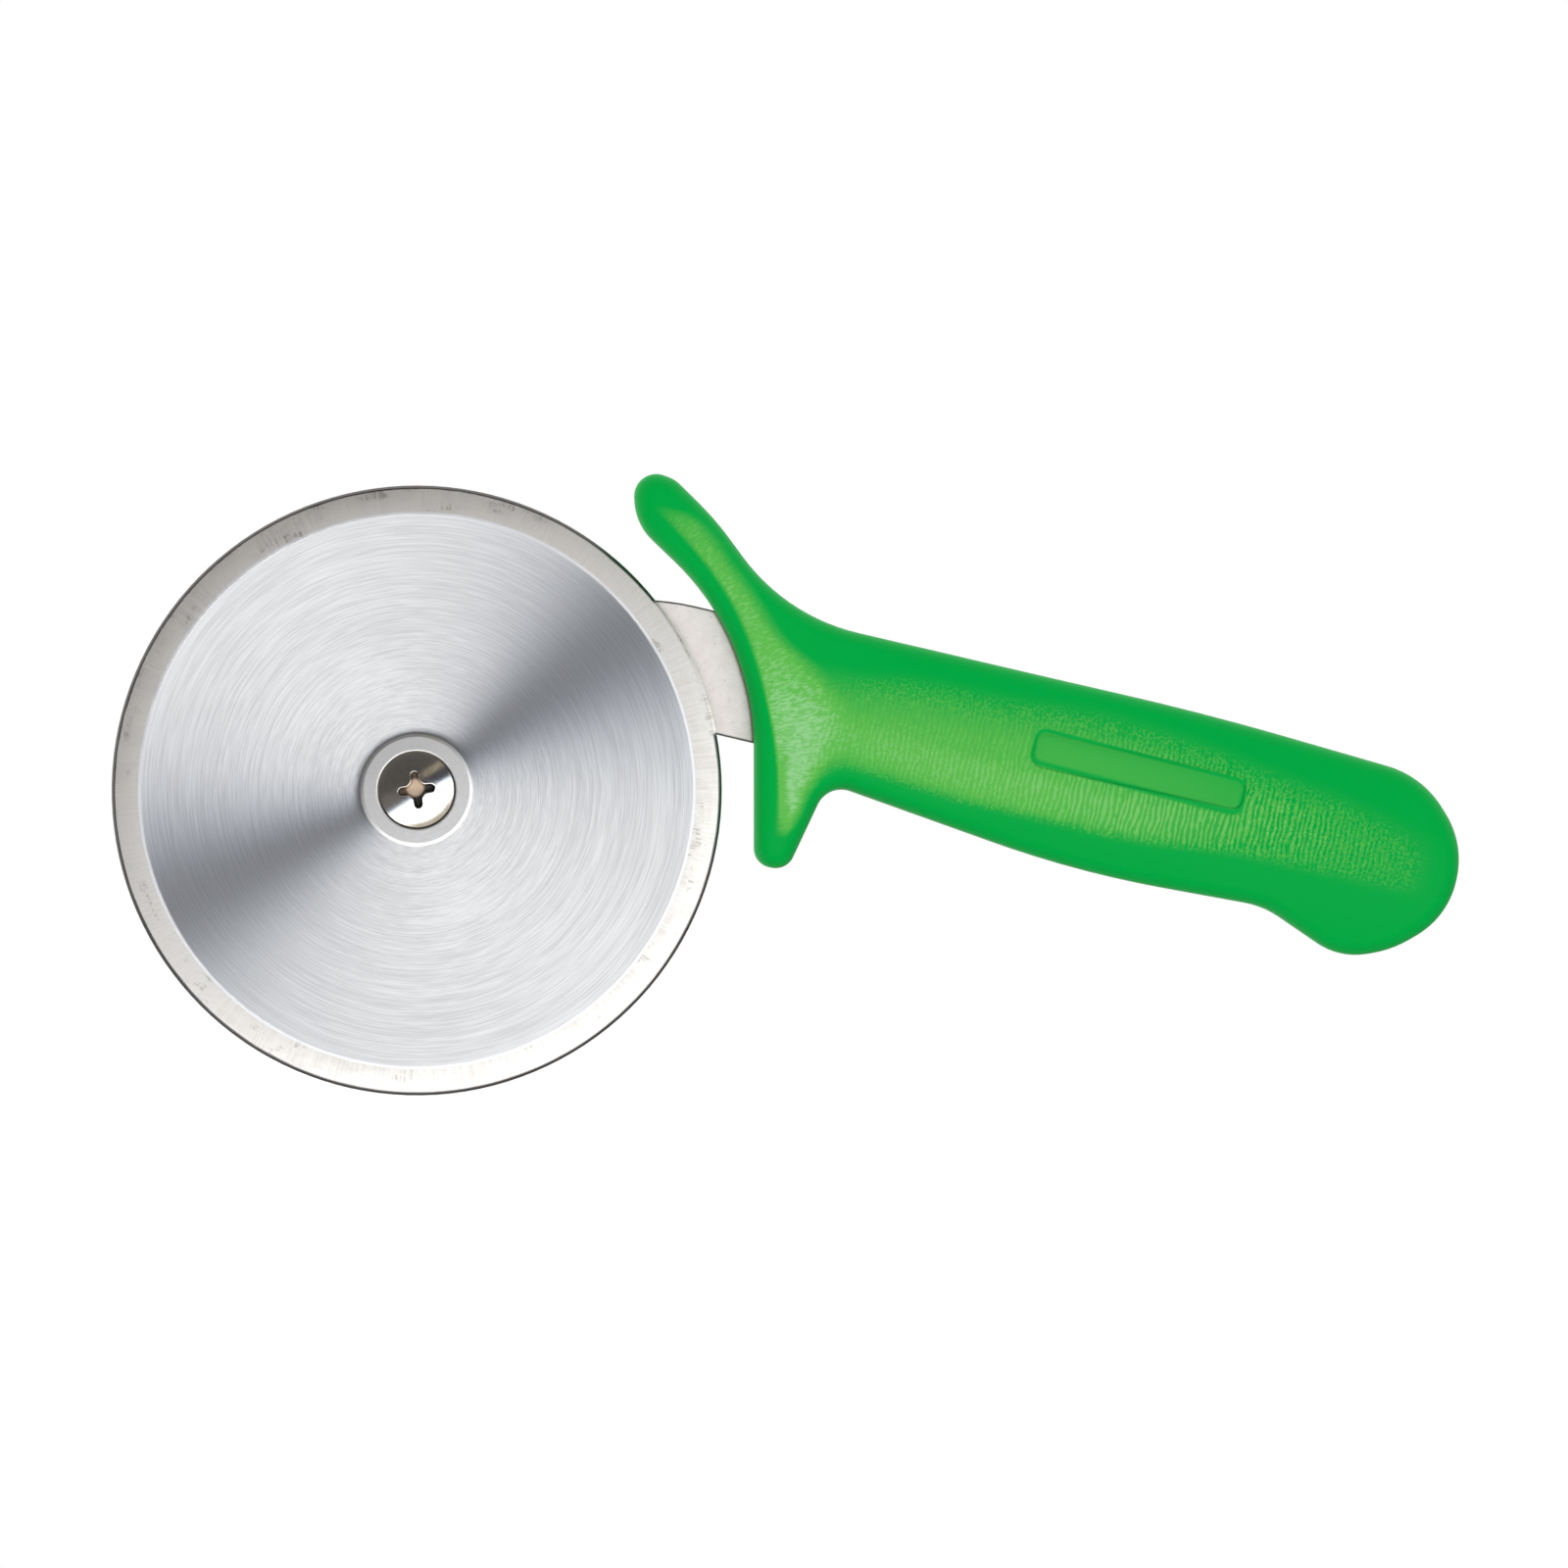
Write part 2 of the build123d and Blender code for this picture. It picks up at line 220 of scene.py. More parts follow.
def turned(tree, outwards, reach, turn_scale, reach_scale, lift=0.0):
    """Coordinates of marks round the axle: how fine they are along the turn and outwards.

    The lift keeps two patterns of one piece apart.
    """
    ring = combine(tree, 0.0, calc(tree, "MULTIPLY_ADD", reach, reach_scale, lift), 0.0)
    return vector(tree, "ADD", scaled(tree, outwards, turn_scale), ring)


# Flats of the blade: steel brushed in circles, with a painted highlight ring along their outer border

BEVEL_START = 46.0
# A painted highlight: a pale ring on the flat just inside where the bevel starts
RIM_LIGHT_REACH = (BEVEL_START - 1.8, BEVEL_START - 0.6)
RIM_LIGHT_SHARE = 0.2
RIM_HIGHLIGHT_COLOUR = (0.95, 0.95, 0.95)
FLAT_COLOURS = (0.735, 0.732, 0.735), (0.92, 0.916, 0.91)
FLAT_ROUGHNESS = (0.41, 0.35)
FINE_MARKS = (6.0, 7.5)
RING_MARKS = (1.5, 5.4, 90.0)
BROAD_MARKS = (1.5, 0.12, 40.0)
BRUSH_LEAN = 0.103
BRUSH_LEAN_ANGLE = radians(46)
MARKS_LEAN = 0.15


def brushed_flat(tree, reach, outwards):
    """The brushing leans a little from true circles, which bends its two dark wedges."""
    fine = noise(tree, turned(tree, outwards, reach, *FINE_MARKS), detail=1.0, roughness=0.6)
    rings = noise(tree, turned(tree, outwards, reach, *RING_MARKS), detail=1.0, roughness=0.6)
    broad = noise(tree, turned(tree, outwards, reach, *BROAD_MARKS), detail=1.0)
    marks = total(tree, (fine, 0.50), (rings, 0.40), (broad, 0.10))
    colour = mix(tree, shades(tree, marks, half=0.12), *FLAT_COLOURS)
    # Painted highlight ring inside the bevel's start
    colour = mix(tree, ramp(tree, reach, *RIM_LIGHT_REACH, 0.0, RIM_LIGHT_SHARE), colour, RIM_HIGHLIGHT_COLOUR)

    along_lean = dot(tree, outwards, heading(BRUSH_LEAN_ANGLE))
    lean = total(tree, (along_lean, BRUSH_LEAN), (less(tree, marks, 0.5), MARKS_LEAN))
    round_way = vector(tree, "CROSS_PRODUCT", ALONG_AXLE, outwards)
    across_marks = vector(tree, "ADD", outwards, scaled(tree, round_way, lean))
    return principled(
        tree,
        Base_Color=colour,
        Metallic=1.0,
        Roughness=shades(tree, marks, *FLAT_ROUGHNESS, half=0.14),
        Anisotropic=0.93,
        Tangent=to_world(tree, across_marks),
    )


# Blade bevels: ground outwards, a painted highlight where they start, painted shade at the honed edge

BEVEL_SLOPE = 0.045
BEVEL_CURVE = 0.0078
BEVEL_COLOURS = (0.75, 0.71, 0.66), (0.88, 0.84, 0.785)
BEVEL_ROUGHNESS = (0.46, 0.38)
BEVEL_BLEND = (-0.25, 0.2)
GRINDING_MARKS = (120.0, 0.12)
GRINDING_HEIGHT = 0.004
BLOTCH_MARKS = (7.0, 0.35, 15.0)
GROUND_SPAN = (0.34, 0.62)
STAIN_SPAN = (0.56, 0.66)
STAIN_SHARE = 0.7
STAIN_COLOUR = (0.46, 0.41, 0.35)
# A painted highlight: a white line where the bevel starts
BEVEL_START_HIGHLIGHT_SPAN = (0.15, 0.6)
BEVEL_START_HIGHLIGHT_COLOUR = (1.0, 1.0, 1.0)
# A painted dark line of shade along the honed edge, which fades beside the arm
EDGE_START = 50.4
EDGE_SPAN = (EDGE_START - 0.15, EDGE_START + 0.05)
EDGE_WANDER = 0.25
EDGE_SHADE_COLOUR = (0.16, 0.152, 0.148)
EDGE_POLISH = 0.1
HONED_SLOPE = 0.35
ARM_ANGLE = radians(37.8)
ARM_HALF_ANGLE = radians(13.8)
ARM_BORDER_HALF_ANGLE = radians(0.5)
BESIDE_ARM_SHARE = 0.12


def clear_of_arm(tree):
    """Share of painted edge shade: 1 in the open, little beside the pale arm; it stays as the blade turns.
    """
    position = add(tree, "ShaderNodeNewGeometry", {}, "Position")
    way = vector(tree, "NORMALIZE", flattened(tree, position))
    open_side = cos(ARM_HALF_ANGLE + ARM_BORDER_HALF_ANGLE)
    arm_side = cos(ARM_HALF_ANGLE - ARM_BORDER_HALF_ANGLE)
    return ramp(tree, dot(tree, way, heading(ARM_ANGLE)), open_side, arm_side, 1.0, BESIDE_ARM_SHARE)


def ground_bevel(tree, reach, outwards):
    """Lines ground outwards, blotches and stains on a hollow face; its honed edge has painted shade."""
    out = less(tree, reach, BEVEL_START)
    lines = noise(tree, turned(tree, outwards, reach, *GRINDING_MARKS), roughness=0.6)
    blotches = noise(tree, turned(tree, outwards, reach, *BLOTCH_MARKS), detail=4.0, roughness=0.65)
    ground = total(tree, (lines, 0.45), (blotches, 0.55))
    colour = mix(tree, ramp(tree, ground, *GROUND_SPAN), *BEVEL_COLOURS)
    stain = times(tree, ramp(tree, blotches, *STAIN_SPAN), shades(tree, lines, half=0.10))
    colour = mix(tree, times(tree, stain, STAIN_SHARE), colour, STAIN_COLOUR)
    # Painted highlight where the bevel meets the flat
    bevel_start_highlight = ramp(tree, calc(tree, "ABSOLUTE", out), *BEVEL_START_HIGHLIGHT_SPAN, 1.0, 0.0)
    colour = mix(tree, bevel_start_highlight, colour, BEVEL_START_HIGHLIGHT_COLOUR)

    clear = clear_of_arm(tree)
    wandering_reach = total(tree, (blotches, EDGE_WANDER), start=reach)
    # Painted shade along the honed edge
    shaded_edge = times(tree, ramp(tree, wandering_reach, *EDGE_SPAN), clear)
    colour = mix(tree, shaded_edge, colour, EDGE_SHADE_COLOUR)
    honed = times(tree, calc(tree, "MAXIMUM", less(tree, reach, EDGE_START), 0.0), clear)
    profile = total(
        tree,
        (out, BEVEL_SLOPE),
        (times(tree, out, out), -BEVEL_CURVE),
        (honed, -HONED_SLOPE),
        (lines, GRINDING_HEIGHT),
    )
    roughness = ramp(tree, ground, *GROUND_SPAN, *BEVEL_ROUGHNESS)
    return principled(
        tree,
        Base_Color=colour,
        Metallic=1.0,
        Roughness=total(tree, (shaded_edge, -EDGE_POLISH), start=roughness),
        Normal=bump(tree, profile),
    )


def blade_steel():
    material, tree = new_material("blade_steel")
    reach, outwards = round_axle(tree, place_in_mm(tree))
    flat = brushed_flat(tree, reach, outwards)
    bevel = ground_bevel(tree, reach, outwards)
    on_bevel = ramp(tree, less(tree, reach, BEVEL_START), *BEVEL_BLEND)
    finish(tree, add(tree, "ShaderNodeMixShader", {0: on_bevel, 1: flat, 2: bevel}))
    return material


# Steel of the arm: a pale satin plate, faint marks, painted shade on its cut edges and near other parts

ARM_COLOURS = (0.875, 0.805, 0.76), (0.965, 0.895, 0.85)
ARM_ROUGHNESS = (0.50, 0.42)
MOTTLE_SCALE = 0.5
SCRATCH_SCALES = (0.7, 1.0, 7.0)
SCRATCH_HEIGHT = 0.003
SPOT_SCALE = 1.3
SPOT_SPAN = (0.66, 0.72)
SPOT_SHARE = 0.45
SPOT_COLOUR = (0.50, 0.48, 0.52)
# Painted shade on the cut edges
CUT_EDGE_RADIUS = 0.8
CUT_EDGE_SPAN = (0.996, 0.955)
CUT_EDGE_SHADE_COLOUR = (0.08, 0.073, 0.07)
# Painted shade where the arm lies close to other parts, such as the guard
CONTACT_REACH = 1.2
CONTACT_SPAN = (0.80, 0.55)
CONTACT_SHADE_COLOUR = (0.22, 0.15, 0.11)


def arm_steel():
    """Painted shade darkens the cut edges, found where a softened normal leans away from the true one."""
    material, tree = new_material("arm_steel")
    point = place_in_mm(tree)
    mottle = noise(tree, scaled(tree, point, MOTTLE_SCALE), detail=5.0, roughness=0.65)
    scratches = noise(tree, stretched(tree, point, SCRATCH_SCALES), roughness=0.6)
    marks = total(tree, (mottle, 0.65), (scratches, 0.35))
    colour = mix(tree, shades(tree, marks), *ARM_COLOURS)
    spots = ramp(tree, noise(tree, scaled(tree, point, SPOT_SCALE)), *SPOT_SPAN, 0.0, SPOT_SHARE)
    colour = mix(tree, spots, colour, SPOT_COLOUR)
    # Painted shade on the cut edges
    upright = dot(tree, softened(tree, CUT_EDGE_RADIUS), true_normal(tree))
    colour = mix(tree, ramp(tree, upright, *CUT_EDGE_SPAN), colour, CUT_EDGE_SHADE_COLOUR)
    # Painted shade from ambient occlusion, where parts come close
    occlusion = add(tree, "ShaderNodeAmbientOcclusion", {"Distance": CONTACT_REACH * MM}, "AO", samples=8)
    colour = mix(tree, ramp(tree, occlusion, *CONTACT_SPAN), colour, CONTACT_SHADE_COLOUR)
    shader = principled(
        tree,
        Base_Color=colour,
        Metallic=1.0,
        Roughness=shades(tree, marks, *ARM_ROUGHNESS),
        Normal=bump(tree, times(tree, scratches, SCRATCH_HEIGHT)),
    )
    finish(tree, shader)
    return material


# Turned steel: fine rings round the axle, painted shade in the bore and on the side wall, and a rolled rim

NO_WALL = 100.0
TURNING_MARKS = (1.5, 5.0)
TURNING_HEIGHT = 0.002
TURNED_MOTTLE_SCALE = 0.8
ROUGHNESS_SWING = 0.04
# Painted shade in the bore and on the side wall
BORE_BLEND = 0.08
BORE_SHADE_COLOUR = (0.10, 0.09, 0.075)
WALL_BLEND = (0.04, 0.01)
WALL_SHADE_COLOUR = (0.05, 0.045, 0.045)
RIM_WIDTH = 0.55
RIM_BLEND = 0.15
RIM_SLOPE = 0.24
RIM_FACING = (0.4, 0.6)


def turned_steel(name, colours, roughness, bore=0.0, wall=NO_WALL, fall=0.0, edge_radius=0.15):
    """Within the radius called bore and at the radius called wall the colour is darkened as painted shade.

    The faces fall away outwards by the slope called fall.
    """
    material, tree = new_material(name)
    point = place_in_mm(tree)
    reach, outwards = round_axle(tree, point)
    rings = noise(tree, turned(tree, outwards, reach, *TURNING_MARKS), detail=3.0, roughness=0.7)
    mottle = noise(tree, scaled(tree, point, TURNED_MOTTLE_SCALE), detail=3.0, roughness=0.6)
    marks = total(tree, (rings, 0.5), (mottle, 0.5))
    colour = mix(tree, shades(tree, marks), *colours)
    # Painted shade in the bore and on the side wall
    colour = mix(tree, ramp(tree, reach, bore + BORE_BLEND, bore), colour, BORE_SHADE_COLOUR)
    at_wall = ramp(tree, reach, *[wall - inside for inside in WALL_BLEND])
    colour = mix(tree, at_wall, colour, WALL_SHADE_COLOUR)

    normal = bump(tree, total(tree, (rings, TURNING_HEIGHT), (reach, -fall)), softened(tree, edge_radius))
    rim_start = wall - RIM_WIDTH
    facing = ramp(tree, dot(tree, true_normal(tree), TO_FRONT), *RIM_FACING)
    rim = times(tree, ramp(tree, reach, rim_start, rim_start + RIM_BLEND), facing)
    rolled = vector(tree, "NORMALIZE", vector(tree, "ADD", TO_FRONT, scaled(tree, outwards, RIM_SLOPE)))
    shader = principled(
        tree,
        Base_Color=colour,
        Metallic=1.0,
        Roughness=shades(tree, marks, roughness + ROUGHNESS_SWING, roughness - ROUGHNESS_SWING),
        Normal=mix(tree, rim, normal, to_world(tree, rolled)),
    )
    finish(tree, shader)
    return material


# Polished steel of the screw; its cross recess is duller metal with painted shade and a painted glint

SCREW_RADIUS = 6.3
SCREW_SINK = 0.25
DOME_HEIGHT = 1.5
DOME_RADIUS = (SCREW_RADIUS ** 2 + DOME_HEIGHT ** 2) / (2 * DOME_HEIGHT)
FLANGE_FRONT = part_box("axle_bushing")[0].y / MM
SCREW_COLOURS = (0.74, 0.72, 0.69), (0.86, 0.85, 0.83)
SCREW_ROUGHNESS = (0.17, 0.12)
HAZE_SCALE = 0.9
SCUFF_MARKS = (5.0, 6.0)
SCUFF_HEIGHT = 0.0015
HEAD_EDGE_RADIUS = 0.22
RECESS_DEPTH = (0.25, 0.45)
RECESS_REACH = (4.0, 3.8)
RECESS_ROUGHNESS = 0.5
RECESS_DULLNESS = 0.7
# Painted shade in the recess, darker towards its lower right, and a painted warm glint towards its upper
# left
RECESS_SIDE = (0.7, 0, -0.7)
RECESS_SIDE_SPAN = (-0.2, 0.9)
RECESS_SHADE_COLOURS = (0.16, 0.115, 0.075), (0.05, 0.047, 0.043)
RECESS_GLINT = (-0.35, 0, 0.35)
GLINT_REACH = (1.75, 1.15)
GLINT_HIGHLIGHT_COLOUR = (0.80, 0.62, 0.46)


def screw_steel():
    """The recess is where the surface lies deeper than the dome of the head."""
    material, tree = new_material("screw_steel")
    point = place_in_mm(tree)
    reach, outwards = round_axle(tree, point)
    haze = noise(tree, scaled(tree, point, HAZE_SCALE), detail=3.0, roughness=0.6)
    polish = mix(tree, shades(tree, haze), *SCREW_COLOURS)
    scuffs = noise(tree, turned(tree, outwards, reach, *SCUFF_MARKS), roughness=0.6)

    dome_middle = FLANGE_FRONT + SCREW_SINK - DOME_HEIGHT + DOME_RADIUS
    from_middle = length(tree, vector(tree, "SUBTRACT", point, (0, dome_middle, 0)))
    depth = less(tree, DOME_RADIUS, from_middle)
    sunk = times(tree, ramp(tree, depth, *RECESS_DEPTH), ramp(tree, reach, *RECESS_REACH))
    # Painted shade and a painted warm glint in the recess
    from_glint = length(tree, vector(tree, "SUBTRACT", flattened(tree, point), RECESS_GLINT))
    walls = mix(tree, ramp(tree, dot(tree, point, RECESS_SIDE), *RECESS_SIDE_SPAN), *RECESS_SHADE_COLOURS)
    inside = mix(tree, ramp(tree, from_glint, *GLINT_REACH), walls, GLINT_HIGHLIGHT_COLOUR)
    recess_roughness = times(tree, sunk, RECESS_ROUGHNESS)
    shader = principled(
        tree,
        Base_Color=mix(tree, sunk, polish, inside),
        Metallic=less(tree, 1.0, times(tree, sunk, RECESS_DULLNESS)),
        Roughness=calc(tree, "MAXIMUM", shades(tree, haze, *SCREW_ROUGHNESS), recess_roughness),
        Normal=bump(tree, times(tree, scuffs, SCUFF_HEIGHT), softened(tree, HEAD_EDGE_RADIUS)),
    )
    finish(tree, shader)
    return material


# White nylon of the washers and the nut's ring

NYLON_COLOURS = (0.70, 0.69, 0.64), (0.82, 0.81, 0.77)
NYLON_ROUGHNESS = (0.55, 0.45)
NYLON_MOTTLE_SCALE = 0.8
NYLON_GRAIN_SCALE = 6.0
NYLON_GRAIN_HEIGHT = 0.01


def nylon():
    material, tree = new_material("nylon")
    point = place_in_mm(tree)
    mottle = noise(tree, scaled(tree, point, NYLON_MOTTLE_SCALE), detail=3.0)
    grain = noise(tree, scaled(tree, point, NYLON_GRAIN_SCALE))
    shader = principled(
        tree,
        Base_Color=mix(tree, shades(tree, mottle, half=0.2), *NYLON_COLOURS),
        Roughness=shades(tree, mottle, *NYLON_ROUGHNESS, half=0.2),
        Normal=bump(tree, times(tree, grain, NYLON_GRAIN_HEIGHT)),
    )
    finish(tree, shader)
    return material


# Painted sheen on the handle: its grained flanks are painted paler than its smooth rims, as sheen of a
# front light

# The stations of a band give the place along it, its middle, its half width and its strength.
# The front band follows Z, and its middle is a distance from the axle. The others follow X,
# and their middles are heights.
FRONT_BAND = [
    (6.0, 61.3, 2.0, 0.0),
    (10.0, 61.8, 2.8, 1.30),
    (14.0, 62.2, 3.8, 1.90),
    (18.0, 63.2, 5.8, 1.95),
    (22.0, 63.8, 9.6, 1.70),
    (28.0, 64.5, 12.0, 1.45),
    (34.0, 63.8, 9.0, 1.15),
    (40.0, 62.3, 4.4, 0.98),
    (48.0, 62.3, 3.3, 0.86),
    (52.5, 63.0, 2.9, 0.70),
    (55.5, 63.6, 2.0, 0.0),
]
FLANK_BAND = [
    (54.0, 27.0, 9.6, 0.50),
    (66.0, 27.0, 10.0, 0.62),
    (78.0, 27.2, 11.4, 0.74),
    (92.0, 27.3, 11.8, 0.76),
    (108.0, 27.8, 12.4, 0.72),
    (122.0, 27.5, 12.0, 0.64),
    (137.0, 27.0, 10.5, 0.47),
    (150.0, 26.5, 9.4, 0.31),
    (161.0, 25.5, 8.2, 0.18),
    (168.0, 25.0, 7.0, 0.0),
]
BELLY_BAND = [
    (54.0, 24.8, 8.0, 0.45),
    (70.0, 24.2, 7.4, 0.75),
    (90.0, 22.6, 6.8, 0.84),
    (112.0, 22.3, 6.8, 0.76),
    (125.0, 22.8, 6.4, 0.52),
    (138.0, 24.0, 5.5, 0.12),
    (145.0, 24.0, 5.0, 0.0),
]
BAND_CORE_SHARE = 0.12

# Heights, by X, below which the handle gets no painted sheen
LOWER_LIMIT = [
    (60.0, 4.0),
    (63.5, 10.0),
    (66.0, 17.5),
    (70.0, 20.0),
    (90.0, 18.9),
    (115.0, 19.0),
    (135.0, 20.6),
]
LOWER_LIMIT_BLEND = (-1.2, 1.2)

# Distance from the axle within which the guard's front rim gets no painted sheen, at a low and a high
# place
FRONT_LIMIT = (60.3, 61.2)
FRONT_LIMIT_HEIGHTS = (26.0, 46.0)
FRONT_LIMIT_BLEND = (-0.6, 0.4)


def curve(tree, value, stations, column):
    """A smooth line through a column of the stations, read where their first column has this value."""
    node = tree.nodes.new("ShaderNodeFloatCurve")
    start, end = stations[0][0], stations[-1][0]
    top = max(station[column] for station in stations)
    points = node.mapping.curves[0].points
    while len(points) < len(stations):
        points.new(0.5, 0.5)
    for point, station in zip(points, stations):
        point.location = (station[0] - start) / (end - start), station[column] / top
        point.handle_type = "AUTO_CLAMPED"
    node.mapping.update()
    fill(node.inputs["Value"], ramp(tree, value, start, end, kind="LINEAR"))
    return times(tree, node.outputs["Value"], top)


def band(tree, stations, along, across):
    """How deep a place lies in a soft band, from 0 to its strength."""
    middle, half_width, strength = [curve(tree, along, stations, column) for column in (1, 2, 3)]
    aside = calc(tree, "ABSOLUTE", less(tree, across, middle))
    return times(tree, ramp(tree, calc(tree, "DIVIDE", aside, half_width), 1.0, BAND_CORE_SHARE), strength)


def joined(tree, *depths):
    """The root of the sum of squares: soft where depths are alike."""
    squares = [(times(tree, depth, depth), 1.0) for depth in depths]
    return calc(tree, "SQRT", total(tree, *squares))


def painted_sheen_zone(tree, x, z, reach, behind_front):
    """How much painted sheen a place gets, before grain: about 1 in the zone, and 0 on the rims."""
    flank = band(tree, FLANK_BAND, x, z)
    belly = band(tree, BELLY_BAND, x, z)
    lit = joined(tree, band(tree, FRONT_BAND, z, reach), flank, belly)
    above_limit = less(tree, z, curve(tree, x, LOWER_LIMIT, 1))
    lower_limit = ramp(tree, above_limit, *LOWER_LIMIT_BLEND)
    return times(tree, lit, lower_limit, ramp(tree, behind_front, *FRONT_LIMIT_BLEND))


# Bare sunk pad on the handle's seen side

PAD_HALF_LENGTH = 18.0
PAD_HALF_WIDTH = 2.95
PAD_CORNER = 1.8
PAD_TILT = radians(1.2)
PAD_BLEND = (-0.1, 0.3)
PAD_SHEEN_SHARE = 0.62
# Painted shade along the pad's sunk wall
PAD_LINE_INSIDE = 0.15
PAD_LINE_CORE = 0.15
PAD_LINE_WIDTHS = (0.45, 0.8)
PAD_LINE_HEIGHTS = (1.5, -1.5)
PAD_LINE_SHARE = 0.9
SIDE_BLEND = (-1.0, 1.0)

pad_mount = next(mount for mount in frame["record"]["mounts"] if mount["name"] == "label_pad")
pad_middle = Vector(pad_mount["pos_m"]) / MM


def pad_distance(tree, point, y):
    """Distance outside the pad's rounded border, negative within it. On the other side it is large."""
    away = vector(tree, "SUBTRACT", point, (pad_middle.x, 0.0, pad_middle.z))
    along = heading(-PAD_TILT)
    across = heading(pi / 2 - PAD_TILT)
    past = []
    for half, way in ((PAD_HALF_LENGTH, along), (PAD_HALF_WIDTH, across)):
        past.append(less(tree, calc(tree, "ABSOLUTE", dot(tree, away, way)), half - PAD_CORNER))
    outer = length(tree, vector(tree, "MAXIMUM", combine(tree, *past, 0.0)))
    inner = calc(tree, "MINIMUM", calc(tree, "MAXIMUM", *past), 0.0)
    other_side = ramp(tree, y, *SIDE_BLEND, 0.0, 2 * PAD_HALF_LENGTH)
    return total(tree, (outer, 1.0), (inner, 1.0), (other_side, 1.0), start=-PAD_CORNER)


def pad_shade_line(tree, pad, z):
    """Painted shade round the pad's sunk wall, which is wider along its lower border."""
    width = ramp(tree, less(tree, z, pad_middle.z), *PAD_LINE_HEIGHTS, *PAD_LINE_WIDTHS)
    from_line = calc(tree, "ABSOLUTE", calc(tree, "ADD", pad, PAD_LINE_INSIDE))
    return ramp(tree, from_line, PAD_LINE_CORE, width, PAD_LINE_SHARE, 0.0)


# Green plastic of the handle: rungs on the thumb rest, specks on the web, wrinkles towards the butt

RUNG_MARKS = (170.0, 0.8)
SPECK_SCALES = (3.4, 1.2, 1.8)
BREAK_SCALES = (1.5, 1.0, 0.8)
DRIFT_SCALES = (0.38, 0.2, 0.2)
WRINKLE_PITCH = 0.88
WRINKLE_DRIFT = 11.0
WAVES_WEIGHT = 0.5
BREAKS_WEIGHT = 0.9
WRINKLES_START = -0.20
RUNGS_END = (56.0, 75.0)
SPECKS_END = (76.0, 128.0)
FIRST_WRINKLES_SHARE = 0.35
GRAIN_HEIGHT = 0.05
ROUGH_SPAN = (0.02, 0.5)
SWING_PLACES = (90.0, 148.0)
SWINGS = (0.26, 0.80)
PIP_SCALES = (2.5, 1.0, 2.3)
PIP_SPAN = (0.50, 0.62)
PIP_LIGHT = 0.34
FRINGE_START = (0.02, 0.16)
FRINGE_END = (0.62, 0.34)
FRINGE_PLACES = (60.0, 72.0)
FRINGE_SHADE = 0.08
FOLD_SPAN = (2.2, 0.9)
FOLD_PLACES = (57.0, 59.0)
FOLD_SHADE = 0.7
BLOOM_START = 1.05
BLOOM_SWING = 0.5
GREEN_AND_SHEEN_GREEN = (0.0005, 0.435, 0.064), (0.14, 0.585, 0.095)
BLOOM_HIGHLIGHT_COLOUR = (0.33, 0.72, 0.30)
HANDLE_ROUGHNESS = (0.42, 0.5)


def handle_grain(tree, point, x, reach, outwards):
    """0 in the furrows of the grain and 1 on its crests."""
    drift = noise(tree, stretched(tree, point, DRIFT_SCALES), detail=1.0)
    phase = total(tree, (x, 2 * pi / WRINKLE_PITCH), (drift, WRINKLE_DRIFT))
    waves = calc(tree, "MULTIPLY_ADD", calc(tree, "SINE", phase), 0.5, 0.5)
    breaks = noise(tree, stretched(tree, point, BREAK_SCALES), detail=1.0, distortion=0.3)
    wrinkles = total(tree, (waves, WAVES_WEIGHT), (breaks, BREAKS_WEIGHT), start=WRINKLES_START)
    specks = noise(tree, stretched(tree, point, SPECK_SCALES), detail=1.0, distortion=0.8)
    rungs = noise(tree, turned(tree, outwards, reach, *RUNG_MARKS), detail=1.0, distortion=0.5)
    grain = blend(tree, ramp(tree, x, *SPECKS_END, FIRST_WRINKLES_SHARE, 1.0), specks, wrinkles)
    grain = blend(tree, ramp(tree, x, *RUNGS_END), rungs, grain)
    return shades(tree, grain, half=0.16)


